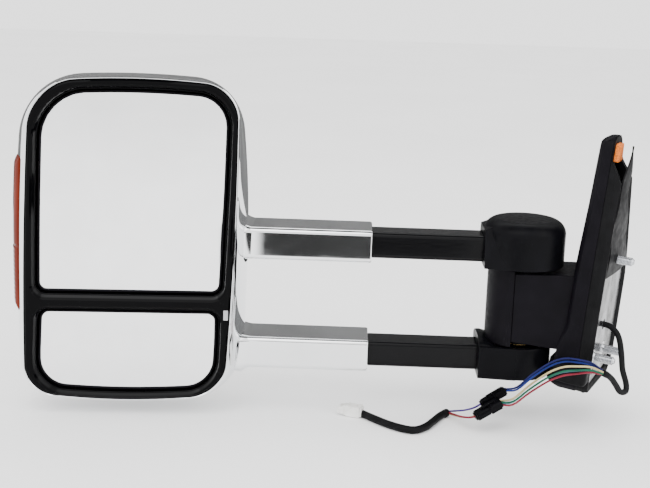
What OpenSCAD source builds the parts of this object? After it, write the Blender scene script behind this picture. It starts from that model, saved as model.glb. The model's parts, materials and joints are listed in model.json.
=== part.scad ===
// Telescopic towing mirror for the left-hand door, pulled out to its full reach.
// Origin: centre of the mounting face on the door. +X points inboard, +Y forward, +Z up.

/* [Arms] */
// Height between the centres of the two arms
arm_gap = 103; // [100:1:106]
// Distance from the mounting face to the fold axis
pivot_reach = 82; // [80:1:84]
// Depth of each square tube, front to back
tube_w = 31; // [29:1:32]
// Height of each square tube
tube_h = 24; // [22:1:24]
// Length of tube that shows when the head is pulled out
tube_show = 101; // [96:1:106]
// Depth of each chrome sleeve
sleeve_w = 48; // [46:1:50]
// Height of each chrome sleeve
sleeve_h = 30; // [29:1:31]

/* [Head] */
// Half of the rim's width
rim_hw = 93.5; // [90:0.5:96]
// Half of the rim's height
rim_hh = 146.5; // [142:0.5:150]
// Height of the rim's middle above the origin
rim_mid = 53; // [50:1:56]
// How far the head's back stands behind the rim
head_depth = 104; // [98:1:110]
// How far the head is turned towards the driver
head_turn = 4; // [2:1:6]
// Width of the gloss frame at the sides
frame_w = 13.5; // [13:0.5:14.5]
// How far the mirror panes sit behind the rim
pane_recess = 7; // [6:0.5:9]

/* [Base] */
// Width of the door base at the bottom
sail_w = 94; // [90:1:98]
// Height of the base's top above the origin
sail_top = 160; // [150:1:165]
// Depth of the base's bottom below the origin
sail_bottom = 75; // [72:1:80]
// How far the door face is turned from the arms' square
base_turn = 25; // [24:1:26]
// How far the door face leans inboard at the top
base_lean = 4; // [3:1:5]
// Radius of the door studs
stud_r = 4; // [3:0.5:4]
// Length of the door studs beyond the face
stud_len = 20; // [16:1:24]

/* [Harness] */
// Width of the braided cable
cable_d = 5.5; // [5:0.5:6]
// Width of each coloured wire
wire_d = 1.8; // [1.6:0.1:2]
// Width of the soft sheath before the plug
sheath_d = 7; // [6:0.5:8]

/* [Hidden] */
$fn = 48;

pivot_x = -pivot_reach;
arm_z = arm_gap / 2;
knuckle_face = pivot_x - 38;
socket_depth = 24;
sleeve_end = knuckle_face - tube_show;
sleeve_len = 131;
head_x = sleeve_end - 215;
head_y = -47;
tube_overlap = 40;
tube_wall = 2;
sleeve_wall = 2.5;
bore_w = sleeve_w - 2 * sleeve_wall;
bore_h = sleeve_h - 2 * sleeve_wall;
run_gap = 0.3;
shaft_r = 10;
bush_r = 12.5;
barrel_r = 18;
barrel_z = 36;
knuckle_z = barrel_z + 1;
black = "#1c1b1f";
chrome_grey = "#c9ccd0";

// ---------- helpers ----------
// points of a quarter turn about c, from angle a
function quarter(c, r, a, n) = [for (i = [0:n]) c + r * [cos(a + 90 * i / n), sin(a + 90 * i / n)]];
// inner points of the straight from p to q
function between(p, q, n) = [for (i = [1:n - 1]) p + (q - p) * i / n];
// rounded box of half sizes w and h with corner radii tr, tl, bl, br, anticlockwise
function soft_box(w, h, tr, tl, bl, br, n = 6, m = 5) = concat(
    quarter([w - tr, h - tr], tr, 0, n), between([w - tr, h], [tl - w, h], m),
    quarter([tl - w, h - tl], tl, 90, n), between([-w, h - tl], [-w, bl - h], m),
    quarter([bl - w, bl - h], bl, 180, n), between([bl - w, -h], [w - br, -h], m),
    quarter([w - br, br - h], br, 270, n), between([w, br - h], [w, h - tr], m));
// the rim's character: bowed sides and a slight lean, z measured from the rim's middle
function bow(p, w, h) = [
    p.x * (1 - 0.03 * pow(p.y / h, 2)) + 0.035 * p.y,
    p.y * (1 - 0.04 * pow(p.x / w, 2)) + rim_mid];
function rim_line(w, h, k = 1, n = 6, m = 5) =
    [for (p = soft_box(w, h, 30 * k, 40 * k, 26 * k, 30 * k, n, m)) bow(p, w, h)];
// half sizes of the shell at a share u of its depth
function fall(u) = sqrt(1 - pow(u, 3.5));
function shell_w(u, t) = rim_hw * fall(u) + 12 * sin(180 * pow(u, 0.75)) - t;
function shell_h(u, t) = rim_hh * fall(u) + 2 * sin(180 * pow(u, 0.75)) - t;

// closed skin over rings of equal length, each ring anticlockwise seen from the first end
module skin(rings) {
    n = len(rings[0]);
    m = len(rings);
    polyhedron([for (r = rings) for (p = r) p], concat(
        [[for (i = [n - 1:-1:0]) i]],
        [[for (i = [0:n - 1]) (m - 1) * n + i]],
        [for (j = [0:m - 2]) for (i = [0:n - 1]) for (f = [0, 1]) f == 0
            ? [j * n + i, j * n + (i + 1) % n, (j + 1) * n + (i + 1) % n]
            : [j * n + i, (j + 1) * n + (i + 1) % n, (j + 1) * n + i]]));
}
// plate in the XZ plane between two depths
module plate_y(pts, y0, y1) {
    translate([0, y1, 0]) rotate([90, 0, 0]) linear_extrude(y1 - y0) polygon(pts);
}
module box(lo, hi) { translate(lo) cube(hi - lo); }
module rod_y(x, z, r, y0, y1) { translate([x, y1, z]) rotate([90, 0, 0]) cylinder(h = y1 - y0, r = r); }
module rod_x(y, z, r, x0, x1) { translate([x0, y, z]) rotate([0, 90, 0]) cylinder(h = x1 - x0, r = r); }
module rod_z(x, y, r, z0, z1) { translate([x, y, z0]) cylinder(h = z1 - z0, r = r); }
// bar along X with rounded long edges
module bar_x(x0, x1, w, h, r, z) {
    translate([x0, 0, z]) rotate([90, 0, 90]) linear_extrude(x1 - x0)
        polygon(soft_box(w / 2, h / 2, r, r, r, r, 6, 1));
}
// frame of the head: origin at the rim's centre line, -Y out of the glass
module head_frame() { translate([head_x, head_y, 0]) rotate([0, 0, head_turn]) children(); }
// frame of the base: +X out of the door face
module at_base() { rotate([0, 0, -base_turn]) rotate([0, base_lean, 0]) children(); }

// tube of radius r along a route, with side as a direction that the route never follows
function unit(v) = v / norm(v);
function ring_at(p, d, r, s, side) = let (u = unit(cross(side, d)), v = cross(d, u))
    [for (i = [0:s - 1]) p - r * cos(360 * i / s) * u + r * sin(360 * i / s) * v];
function heading(route, i) = unit(route[min(i + 1, len(route) - 1)] - route[max(i - 1, 0)]);
module cord(route, d, s, side) {
    skin([for (i = [0:len(route) - 1]) ring_at(route[i], heading(route, i), d / 2, s, side)]);
}

// ---------- door base ----------
// outline of the base in its own frame as [forward, up], drawn in by t
function sail(t) = let (near = -sail_w / 2 - 1 + t, far = sail_w / 2 - 1 - t, low = t - sail_bottom) [
    [near + 8, low], [far - 14, low + 4], [far - 4, low + 14], [far, low + 36], [far, 20 - t / 2],
    [far - 8, 50 - t], [-6 - t, sail_top - 14 - t], [-12 - t, sail_top - 4 - t],
    [-20 - t / 2, sail_top - t], [-34 + t / 2, sail_top - t], [-40 + t, sail_top - 6 - t],
    [near + 2, 60], [near, 0], [near, low + 12], [near + 2, low + 4]];
// plate in the base's own YZ plane between two heights above the door face
module plate_x(pts, x0, x1) {
    translate([x0, 0, 0]) rotate([90, 0, 90]) linear_extrude(x1 - x0) polygon(pts);
}
stud_places = [[-16, 48], [-32, -42], [4, -44]];
collar_r = 7.5;
collar_t = 3;
cable_place = [-8, -17];
grommet_r = 5;
plate_t = 8;
// the plate stops here and the rim falls away from the door, leaving room for the foam under the tongue
plate_top = 118;
top_gap = [[4, plate_top - 6], [-8.5, plate_top + 8], [-8.5, 170], [4, 170]];

module mount_casting() color("#55565a") difference() {
    union() {
        at_base() {
            plate_x(sail(7), -plate_t, 0);
            plate_x([[-38, -51], [16, -51], [30, 20], [-4, 62], [-36, 62]], -plate_t - 4, -plate_t);
        }
        difference() {
            union() {
                rod_z(pivot_x, 0, barrel_r, -barrel_z, barrel_z);
                box([pivot_x, -12, -26], [-10, 12, 28]);
            }
            at_base() box([-12, -200, -200], [200, 200, 200]);
        }
    }
    rod_z(pivot_x, 0, bush_r, -barrel_z - 1, barrel_z + 1);
    at_base() {
        for (s = stud_places) rod_x(s[0], s[1], collar_r, -collar_t, 1);
        for (s = stud_places) rod_x(s[0], s[1], stud_r, -13, 1);
        rod_x(cable_place[0], cable_place[1], grommet_r, -16, 1);
        for (s = screw_places) rod_x(s[0], s[1], 2, -20, 1);
        for (s = screw_places) rod_x(s[0], s[1], 4, -3, 1);
        box([-plate_t - 1, -100, plate_top], [1, 100, 200]);
    }
}

// side view of the base cover: how far it stands out at each height
function cover_profile(t) = [[-plate_t - 1, -90], [t - 37, -90], [t - 36.5, -64], [t - 35.5, -41],
    [t - 33, -27], [t - 28, -17], [t - 27, 37], [t - 24, 100], [t - 22, 170], [-plate_t - 1, 170]];
module cover_side(t) { plate_y(cover_profile(t), -100, 100); }

module base_cover() color(black) difference() {
    at_base() {
        difference() {
            intersection() {
                plate_x(sail(0), -60, -plate_t - 1);
                cover_side(0);
            }
            intersection() {
                plate_x(sail(3), -60, 1);
                cover_side(3);
            }
            plate_x(sail(6.7), -12.3, 0);
        }
    }
    box([-90, -arm_cover_w - run_gap, -50], [0, arm_cover_w + run_gap, 33 + run_gap]);
}

// side view of the arm cover, inset by t
arm_cover_w = 28.5;
function arm_side(t) = [[pivot_x - 10 - t, 33 - t], [-10, 33 - t], [-10, t - 41], [-44, t - 38],
    [-50, t - 36.4], [pivot_x - 10 - t, t - 31]];
module arm_cover() color(black) difference() {
    plate_y(arm_side(0), -arm_cover_w, arm_cover_w);
    plate_y(arm_side(2.5), -arm_cover_w + 2.5, arm_cover_w - 2.5);
    at_base() box([-24, -200, -200], [200, 200, 200]);
    rod_z(pivot_x, 0, barrel_r + run_gap, -50, 50);
}

post_r = 31;
module post_cover() color(black) difference() {
    rod_z(pivot_x, 0, post_r, -barrel_z, barrel_z);
    rod_z(pivot_x, 0, post_r - 2.5, -barrel_z - 1, barrel_z + 1);
    box([pivot_x - 10 - run_gap, -40, -50], [pivot_x + 60, 40, 50]);
}

// how far the gasket and its flap stand clear of the door face
lip_x = 2.4;
module door_gasket() color("#141416") at_base() difference() {
    union() {
        plate_x(sail(0.6), -plate_t - 1, lip_x);
        plate_x([[-61, -64], [-20, -64], [-20, -47], [-58, -47]], -30, lip_x);
    }
    plate_x(sail(6.9), -plate_t - 2, lip_x + 1);
    plate_x(sail(-0.3), -60, -plate_t - 1);
    plate_y(top_gap, -100, 100);
}

// free pointed tongue above the plate, lying in the door plane
module gasket_flap() color("#141416") at_base() {
    plate_x([[-44, 70], [36, 34], [20, 62], [5, 90], [-10, 120], [-22, 152], [-34, 152]], lip_x, 5);
    plate_x([[-38, 78], [18, 56], [2, 86], [-16, 118], [-28, 136]], 5, 8);
}

module foam_seal() color("#e8651d") at_base()
    plate_x([[-37, 128], [-22, 128], [-24, 152], [-36, 152]], -8.3, -2);

module mount_studs() color("#d0d2d4") at_base() for (s = stud_places) {
    rod_x(s[0], s[1], collar_r, -collar_t, 0);
    rod_x(s[0], s[1], stud_r, -12, stud_len - 2);
    translate([stud_len - 2, s[0], s[1]]) rotate([0, 90, 0]) cylinder(h = 2, r1 = stud_r, r2 = stud_r / 2);
}

module cable_grommet() color("#101012") at_base() difference() {
    rod_x(cable_place[0], cable_place[1], grommet_r, -13, 0);
    rod_x(cable_place[0], cable_place[1], cable_d / 2, -15, 1);
}

screw_places = [[-28, -57], [20, -58], [-24, 104]];
module cover_screws() color("#8b8d90") at_base() for (s = screw_places) {
    rod_x(s[0], s[1], 2, -18, -3);
    rod_x(s[0], s[1], 4, -3, -0.5);
}

module pivot_bush(lo, hi) color("#c8a04a") difference() {
    rod_z(pivot_x, 0, bush_r, lo, hi);
    rod_z(pivot_x, 0, shaft_r + 0.05, lo - 1, hi + 1);
}
module upper_pivot_bush() pivot_bush(barrel_z - 20, barrel_z);
module lower_pivot_bush() pivot_bush(-barrel_z, -barrel_z + 20);

module friction_washers() color("#b9a77c") for (z = [barrel_z, -barrel_z - 0.8]) difference() {
    rod_z(pivot_x, 0, barrel_r - 1, z, z + 0.8);
    rod_z(pivot_x, 0, shaft_r + 0.2, z - 1, z + 2);
}

// ---------- folding arms ----------
module pivot_shaft() color("#a9abae") difference() {
    union() {
        rod_z(pivot_x, 0, shaft_r, -arm_z - 8, arm_z + 20);
        rod_z(pivot_x, 0, shaft_r + 4, -arm_z - 11, -arm_z - 8);
    }
    rod_z(pivot_x, 0, 6.5, -80, 80);
}

core_r = 26;
socket_w = 19;
socket_h = 14.5;
core_end = arm_z + 8;
module knuckle_core(way) color("#3a3a3e") difference() {
    union() {
        rod_z(pivot_x, 0, core_r, min(way * knuckle_z, way * core_end), max(way * knuckle_z, way * core_end));
        box([knuckle_face + 3, -socket_w, way * arm_z - socket_h],
            [knuckle_face + socket_depth, socket_w, way * arm_z + socket_h]);
    }
    rod_z(pivot_x, 0, shaft_r, -80, 80);
    bar_x(knuckle_face, knuckle_face + socket_depth, tube_w, tube_h, 4, way * arm_z);
    tube_screw_rods(way * arm_z);
}
module upper_knuckle() knuckle_core(1);
module lower_knuckle() knuckle_core(-1);

// top of the upper cap seen from the side: the snout rises to the dome in a slope
cap_r = 37.5;
cap_top = 79;
module upper_knuckle_cap() color(black) difference() {
    union() {
        translate([pivot_x, 0, 0]) rotate_extrude() {
            translate([0, knuckle_z]) square([cap_r, cap_top - 11 - knuckle_z]);
            translate([0, cap_top - 12]) square([cap_r - 11, 12]);
            intersection() {
                translate([cap_r - 11, cap_top - 11]) circle(11);
                translate([cap_r - 11, cap_top - 11.5]) square(12);
            }
        }
        plate_y([[knuckle_face, knuckle_z], [pivot_x, knuckle_z], [pivot_x, 76], [pivot_x - 24, 76],
            [knuckle_face, 70]], -29, 29);
    }
    rod_z(pivot_x, 0, core_r + 1, 30, cap_top - 2);
    box([knuckle_face + 2.5, -socket_w - 0.5, 30], [pivot_x, socket_w + 0.5, arm_z + socket_h + 0.5]);
    bar_x(knuckle_face - 1, knuckle_face + 4, tube_w + 0.6, tube_h + 0.6, 4.3, arm_z);
}

module lower_knuckle_cap() color(black) difference() {
    union() {
        rod_z(pivot_x, 0, 31, -arm_z - 15.5, -knuckle_z);
        box([knuckle_face, -28, -arm_z - 15.5], [pivot_x, 28, -knuckle_z]);
        difference() {
            bar_x(knuckle_face, knuckle_face + 5, 50, 40, 6, -arm_z);
            box([knuckle_face - 1, -40, -90], [knuckle_face + 6, 40, -knuckle_z]);
        }
    }
    rod_z(pivot_x, 0, core_r + 1, -80, 0);
    box([knuckle_face + 2.5, -socket_w - 0.5, -80], [pivot_x, socket_w + 0.5, -arm_z + socket_h + 0.2]);
    bar_x(knuckle_face - 1, knuckle_face + 4, tube_w + 0.6, tube_h + 0.6, 4.3, -arm_z);
    box([knuckle_face - 1, -tube_w / 2 - run_gap, -80], [knuckle_face + 3, tube_w / 2 + run_gap, -arm_z]);
}

spring_turns = 4;
spring_points = [for (i = [0:spring_turns * 14]) let (a = 360 * i / 14)
    [pivot_x + 12 * cos(a), 12 * sin(a), arm_z + 9.5 + 10 * i / (spring_turns * 14)]];
module fold_spring() color("#8d8f92") cord(spring_points, 2, 6, [0, 0, 1]);

module spring_cup() color("#9a9ca0") difference() {
    rod_z(pivot_x, 0, 19, arm_z + 20.6, arm_z + 22);
    rod_z(pivot_x, 0, 6.5, 0, 100);
}

module pivot_nut() color("#b5b7ba") difference() {
    union() {
        translate([pivot_x, 0, arm_z + 22]) cylinder(h = 3, r = 11, $fn = 6);
        rod_z(pivot_x, 0, 6.5, arm_z + 12, arm_z + 22);
    }
    rod_z(pivot_x, 0, 4, 0, 100);
}

module tube(z) color("#242327") difference() {
    bar_x(sleeve_end - tube_overlap, knuckle_face + socket_depth, tube_w, tube_h, 4, z);
    bar_x(sleeve_end - tube_overlap - 1, knuckle_face + socket_depth + 1, tube_w - 2 * tube_wall,
        tube_h - 2 * tube_wall, 2.5, z);
    tube_screw_rods(z);
}
module upper_tube() tube(arm_z);
module lower_tube() tube(-arm_z);

module tube_end_guides() color("#e4e2da") for (z = [arm_z, -arm_z]) {
    bar_x(sleeve_end - tube_overlap - 4, sleeve_end - tube_overlap, bore_w - 2 * run_gap,
        bore_h - 2 * run_gap, 3, z);
    bar_x(sleeve_end - tube_overlap, sleeve_end - tube_overlap + 14, tube_w - 2 * tube_wall,
        tube_h - 2 * tube_wall, 2.5, z);
}

// screws through the back wall of each tube
module tube_screw_rods(z) { for (x = [9, 18]) rod_y(knuckle_face + x, z, 2, tube_w / 2 - 5, socket_w); }
module tube_screws() color("#b5b7ba") for (z = [arm_z, -arm_z]) {
    for (x = [9, 18]) rod_y(knuckle_face + x, z, 2, tube_w / 2 - 4, socket_w + 0.3);
}

// ---------- sliding head ----------
shell_steps = [0, 0.04, 0.12, 0.24, 0.38, 0.52, 0.66, 0.78, 0.88, 0.95, 0.985];
shell_wall = 2.6;
lip = 1.5;
// behind the rim the cup stands more upright and narrows towards its top
function upright(p, s, h) = p.x - s * (0.03 * h + 7 * (p.x / rim_hw) * pow(max(0, h) / rim_hh, 2));
function shell_ring(u, t, y) =
    [for (p = rim_line(shell_w(u, t), shell_h(u, t), 1 + 0.5 * min(1, 3 * u)))
        [upright(p, sin(180 * pow(u, 0.75)), p.y - rim_mid), y, p.y]];
// cup with a thin lip: inner rings from the back to the front, then outer rings to the back
module shell_cup(grow) {
    last = len(shell_steps) - 1;
    skin(concat(
        [for (i = [last:-1:1]) shell_ring(shell_steps[i], shell_wall * (1 + 3 * pow(shell_steps[i], 8)),
            shell_steps[i] * (head_depth - shell_wall))],
        [shell_ring(0, lip, 0)],
        [for (u = shell_steps) shell_ring(u, -grow, u * (head_depth + grow))]));
}
module sleeve_hole(z, t) {
    bar_x(sleeve_end - 170, sleeve_end, sleeve_w + 2 * t, sleeve_h + 2 * t, 6 + t, z);
}
lens_lo = [-130, 5, -12];
lens_hi = [-78, 46, 127];

module head_shell() color(chrome_grey) difference() {
    head_frame() shell_cup(0);
    head_frame() box(lens_lo - [0, 0.5, 0.5], lens_hi + [0, 0.5, 0.5]);
    for (z = [arm_z, -arm_z]) sleeve_hole(z, 3);
}

function frame_line(t) = rim_line(rim_hw - t, rim_hh - t);
pane_x = 0.5;
divider_z = rim_mid - 54.5;
pane_top = rim_mid + rim_hh - frame_w + 1;
upper_pane_z = (pane_top + divider_z + 8.5) / 2;
upper_pane = [rim_hw - frame_w + 2, (pane_top - divider_z - 8.5) / 2];
pane_low = rim_mid - rim_hh + 8.5;
lower_pane_z = (pane_low + divider_z - 9.5) / 2;
lower_pane = [rim_hw - frame_w - 0.5, (divider_z - 9.5 - pane_low) / 2];
pane_gap = 1.8;
// pane outline inset by t: side corners big = [left, right, sag] on top and small = the same below
function pane(size, z, t, big, small) = [
    for (p = soft_box(size.x - t, size.y - t, big[1] - t, big[0] - t, small[0] - t, small[1] - t))
    [p.x * (1 - 0.01 * pow(p.y / size.y, 2)) + 0.035 * (p.y + z - rim_mid) + pane_x,
        p.y + z - (p.y > 0 ? big[2] : -small[2]) * pow(p.x / size.x, 2)]];
function upper_line(t) = pane(upper_pane, upper_pane_z, t, [38, 26, 4], [8, 8, 0]);
function lower_line(t) = pane(lower_pane, lower_pane_z, t, [8, 8, 0], [24, 24, 4]);

module front_bezel() color("#0b0b0d") head_frame() difference() {
    union() {
        plate_y(frame_line(lip + 0.1), -1, 0.6);
        plate_y(frame_line(lip + 1.7), 0.5, 14);
    }
    plate_y(upper_line(-pane_gap), -2, 15);
    plate_y(lower_line(-pane_gap), -2, 15);
}

module sleeve(z) color(chrome_grey) difference() {
    bar_x(sleeve_end - sleeve_len, sleeve_end, sleeve_w, sleeve_h, 6, z);
    bar_x(sleeve_end - sleeve_len - 1, sleeve_end + 1, bore_w, bore_h, 3.5, z);
}
module upper_sleeve() sleeve(arm_z);
module lower_sleeve() sleeve(-arm_z);

module sleeve_bushes() color("#e4e2da") for (z = [arm_z, -arm_z]) difference() {
    bar_x(sleeve_end - 18, sleeve_end - 1, bore_w, bore_h, 3.5, z);
    bar_x(sleeve_end - 19, sleeve_end, tube_w + 2 * run_gap, tube_h + 2 * run_gap, 4.3, z);
}

frame_y = 56;
module inner_frame() color("#2c2c30") difference() {
    union() {
        for (z = [arm_z, -arm_z]) {
            bar_x(sleeve_end - sleeve_len, sleeve_end - sleeve_len + 15, bore_w, bore_h, 3.5, z);
            box([sleeve_end - 160, -12, z - bore_h / 2],
                [sleeve_end - sleeve_len, bore_w / 2, z + bore_h / 2]);
        }
        head_frame() {
            box([-60, frame_y, -72], [62, frame_y + 4, 150]);
            for (x = [-60, 56]) box([x, frame_y - 12, -68], [x + 4, frame_y, 150]);
        }
    }
    head_frame() for (p = screw_points) rod_y(p[0], p[1], 2, frame_y - 1, frame_y + 5);
}

module indicator_lens() color("#7a1c16") head_frame() intersection() {
    shell_cup(0.4);
    box(lens_lo, lens_hi);
}

tray_lo = [-94, 15, -6];
tray_hi = [-85.5, 42, 118];
tray_wall = 1.5;
board_x = tray_hi.x - tray_wall;
module indicator_tray() color("#d8d8d8") head_frame() difference() {
    box(tray_lo, tray_hi);
    box(tray_lo + [-1, 2.5, 2.5], tray_hi - [tray_wall, 2.5, 2.5]);
}

module led_board() color("#2f6b3c") head_frame() {
    box([board_x - 1.6, 18, -3], [board_x, 39, 115]);
    for (i = [0:5]) box([board_x - 4, 24, 8 + 18 * i], [board_x - 1.6, 29, 14 + 18 * i]);
}

// the panes swing about a point this far behind the rim
swing_y = pane_recess + 11;
holder_y = pane_recess + 4;
ear_reach = 21;
pin_r = 2;
bore_gap = 0.05;
case_y = 30;
case_wall = 3;
jack_reach = 38;
module case_ears(z) {
    for (s = [-1, 1]) difference() {
        box([pane_x - 5, swing_y - 3.4, z + s * ear_reach - 3], [pane_x + 5, case_y, z + s * ear_reach + 3]);
        rod_z(pane_x, swing_y, pin_r + bore_gap, z - 30, z + 30);
    }
}

case_lo = [pane_x - 50, case_y, upper_pane_z - 26];
case_hi = [pane_x + 50, frame_y, upper_pane_z + 50];
screw_points = [[-42, 142], [42, 142], [pane_x, -32], [pane_x, -64]];
module actuator_case() color("#37373b") head_frame() {
    difference() {
        box(case_lo, case_hi);
        box(case_lo + case_wall * [1, 1, 1], case_hi - case_wall * [1, 1, 1]);
        rod_y(pane_x + jack_reach, upper_pane_z, 2.56, 20, 40);
        rod_y(pane_x, upper_pane_z + jack_reach, 2.56, 20, 40);
        for (p = screw_points) rod_y(p[0], p[1], 2, frame_y - 4, frame_y + 1);
    }
    case_ears(upper_pane_z);
}

module actuator_motors() color("#9fa1a5") head_frame() for (x = [-34, 4]) {
    rod_z(pane_x + x, 43, 9, upper_pane_z - 23, upper_pane_z + 8);
    rod_z(pane_x + x, 43, 1.2, upper_pane_z + 8, upper_pane_z + 20);
}

module lower_swivel_post() color("#37373b") head_frame() {
    box([pane_x - 30, case_y, lower_pane_z - 26], [pane_x + 30, case_y + 6, lower_pane_z + 26]);
    difference() {
        box([pane_x - 8, case_y + 6, lower_pane_z - 24], [pane_x + 8, frame_y, lower_pane_z + 24]);
        for (p = screw_points) rod_y(p[0], p[1], 2, frame_y - 4, frame_y + 1);
    }
    case_ears(lower_pane_z);
}

module head_screws() color("#b5b7ba") head_frame() for (p = screw_points) {
    rod_y(p[0], p[1], 2, frame_y - 3, frame_y + 4);
    rod_y(p[0], p[1], 4, frame_y + 4, frame_y + 7);
}

module bezel_clip() color("#a9a9ab") head_frame() box([83.5, -1.6, -16], [88, -1, -6]);

// ring with two pins on Z held by the case and two on X that hold the mirror
module gimbal(z) color("#d8d6cc") head_frame() {
    difference() {
        rod_y(pane_x, z, 16, swing_y - 4, swing_y + 4);
        rod_y(pane_x, z, 10, swing_y - 5, swing_y + 5);
    }
    for (s = [-1, 1]) {
        rod_z(pane_x, swing_y, pin_r, z + min(s * 15, s * 24), z + max(s * 15, s * 24));
        rod_x(swing_y, z, pin_r, pane_x + min(s * 15, s * 24), pane_x + max(s * 15, s * 24));
    }
}
module upper_gimbal() gimbal(upper_pane_z);
module lower_gimbal() gimbal(lower_pane_z);

glass_t = 2;
pad_t = 0.6;
module upper_glass() color("#e8eef2") head_frame()
    plate_y(upper_line(1.4), pane_recess, pane_recess + glass_t);

module heater_pad() color("#7c5a3a") head_frame()
    plate_y(upper_line(6), pane_recess + glass_t, pane_recess + glass_t + pad_t);

// ears on the back of a mirror holder for the gimbal's side pins
module holder_ears(z) {
    for (s = [-1, 1]) difference() {
        box([pane_x + s * ear_reach - 2.4, holder_y - 0.5, z - 5],
            [pane_x + s * ear_reach + 2.4, swing_y + 5, z + 5]);
        rod_x(swing_y, z, pin_r + bore_gap, pane_x - 30, pane_x + 30);
    }
}
module jack_sockets() for (p = [[jack_reach, 0], [0, jack_reach]]) difference() {
    rod_y(pane_x + p[0], upper_pane_z + p[1], 7, holder_y - 0.5, swing_y + 3);
    rod_y(pane_x + p[0], upper_pane_z + p[1], 4.6, swing_y - 5.2, swing_y + 4);
}
module upper_glass_holder() color("#151517") head_frame() {
    difference() {
        plate_y(upper_line(0), pane_recess - 0.6, holder_y);
        plate_y(upper_line(1.4), pane_recess - 1, pane_recess + glass_t);
        plate_y(upper_line(6), pane_recess, pane_recess + glass_t + pad_t);
    }
    holder_ears(upper_pane_z);
    jack_sockets();
}

module jack(p) color("#e4e2da") head_frame() {
    rod_y(pane_x + p[0], upper_pane_z + p[1], 2.5, swing_y + 2, case_y + 16);
    translate([pane_x + p[0], swing_y, upper_pane_z + p[1]]) sphere(r = 3.8);
}
module pan_jack() jack([jack_reach, 0]);
module tilt_jack() jack([0, jack_reach]);

module lower_glass() color("#e8eef2") head_frame()
    plate_y(lower_line(1.4), pane_recess, pane_recess + glass_t);
module lower_glass_holder() color("#151517") head_frame() {
    difference() {
        plate_y(lower_line(0), pane_recess - 0.6, holder_y);
        plate_y(lower_line(1.4), pane_recess - 1, pane_recess + glass_t);
    }
    holder_ears(lower_pane_z);
}

// ---------- harness ----------
// routes are chosen points along the cord's middle, starting at the door plate's hole
cable_route = [[-16, -2, -16], [-4, -7, -17], [1, -10, -18], [6, -14, -22], [9, -18, -29], [11, -22, -42],
    [12, -26, -54], [15, -31, -65], [14, -36, -71], [8, -41, -70], [3, -45, -63], [-2, -49, -56],
    [-7, -53, -51], [-13, -57, -47]];
module braided_cable() color("#19191b") cord(cable_route, cable_d, 8, [0.6, 0.8, 0]);

wire_route = [[-13, -57, -47], [-24, -62, -41], [-36, -63, -40], [-48, -62, -41], [-60, -60, -47],
    [-74, -55, -60], [-86, -49, -74], [-96, -42, -78]];
// a wire keeps near the shared route but starts, sags and ends at its own offsets
function beside(start, middle, finish) = [for (i = [0:7]) let (u = i / 7, m = sin(180 * u))
    wire_route[i] + start * (1 - u) + finish * u + middle * m];
motor_ends = [[[0, 0.3, 1.6], [0, 1, 3.4], [0, 3.4, 5.4]], [[0, 1.4, 0.2], [0, 2.4, 1.2], [0, 1.2, 4.6]]];
lamp_ends = [[[0, -1.3, 0.7], [0, -1, 1.4], [-5, -7, -2]],
    [[0, -1.4, -0.9], [0, -1.2, -1.2], [-5, -9.6, -2.6]],
    [[0, 0, -1.9], [0, -0.4, -4.2], [-5, -8.4, -5.2]], [[0, 1.4, -1.4], [0, 1.4, -2.6], [-5, -5.8, -4.6]]];
module wires(ends) { for (e = ends) cord(beside(e[0], e[1], e[2]), wire_d, 6, [0, 0, 1]); }
module motor_wires() color("#26307a") wires(motor_ends);
module lamp_wires() color("#1f7a4a") wires(lamp_ends);

module at_two_way() { translate([-95.5, -39.7, -73]) rotate([0, -30, 12]) children(); }
module two_way_connector() color("#0f0f11") at_two_way() {
    box([-26, -4, -3.4], [0, 4, 3.4]);
    box([-24, -2, 3.4], [-8, 2, 4.6]);
}
module at_four_way() { translate([-100.5, -49.7, -81.2]) rotate([0, -26, 18]) children(); }
module four_way_connector() color("#151517") at_four_way() {
    box([-27, -5, -4], [0, 5, 4]);
    for (y = [-3.4, 1]) box([-20, y, 4], [-10, y + 2.4, 5.2]);
}
tail_route = [[-126, -56, -91], [-130, -50, -95], [-135, -40, -99], [-140, -29, -102], [-145, -20, -104]];
tail_ends = [[[8.4, 11.6, 5.3], [0, 0.6, 0.8]], [[2.6, -2.6, -1.4], [0, -0.8, 0.6]],
    [[2.6, 0.6, -2], [0, 0, -1]]];
module tail_wires() color("#26307a") for (e = tail_ends)
    cord([for (i = [0:4]) tail_route[i] + e[0] * (1 - i / 4) + e[1] * i / 4], wire_d, 6, [0, 0, 1]);
sheath_route = [[-145, -20, -104], [-152, -28, -104.5], [-160, -44, -104.5], [-168, -58, -104.5],
    [-178, -66, -104.5], [-190, -62, -104.5], [-202, -53, -104.5], [-213, -42, -104.5], [-224, -30, -104.5]];
module tail_sheath() color("#17171a") cord(sheath_route, sheath_d, 8, [0, 0, 1]);
module at_plug() { translate([-224, -30, -102.6]) rotate([0, 0, -20]) children(); }
module plug() color("#e9e8e4") at_plug() {
    box([-18, -5.5, -5], [0, 5.5, 5]);
    for (y = [-5.5, 2.5]) box([-23, y, -3], [-18, y + 3, 3]);
}

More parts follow.
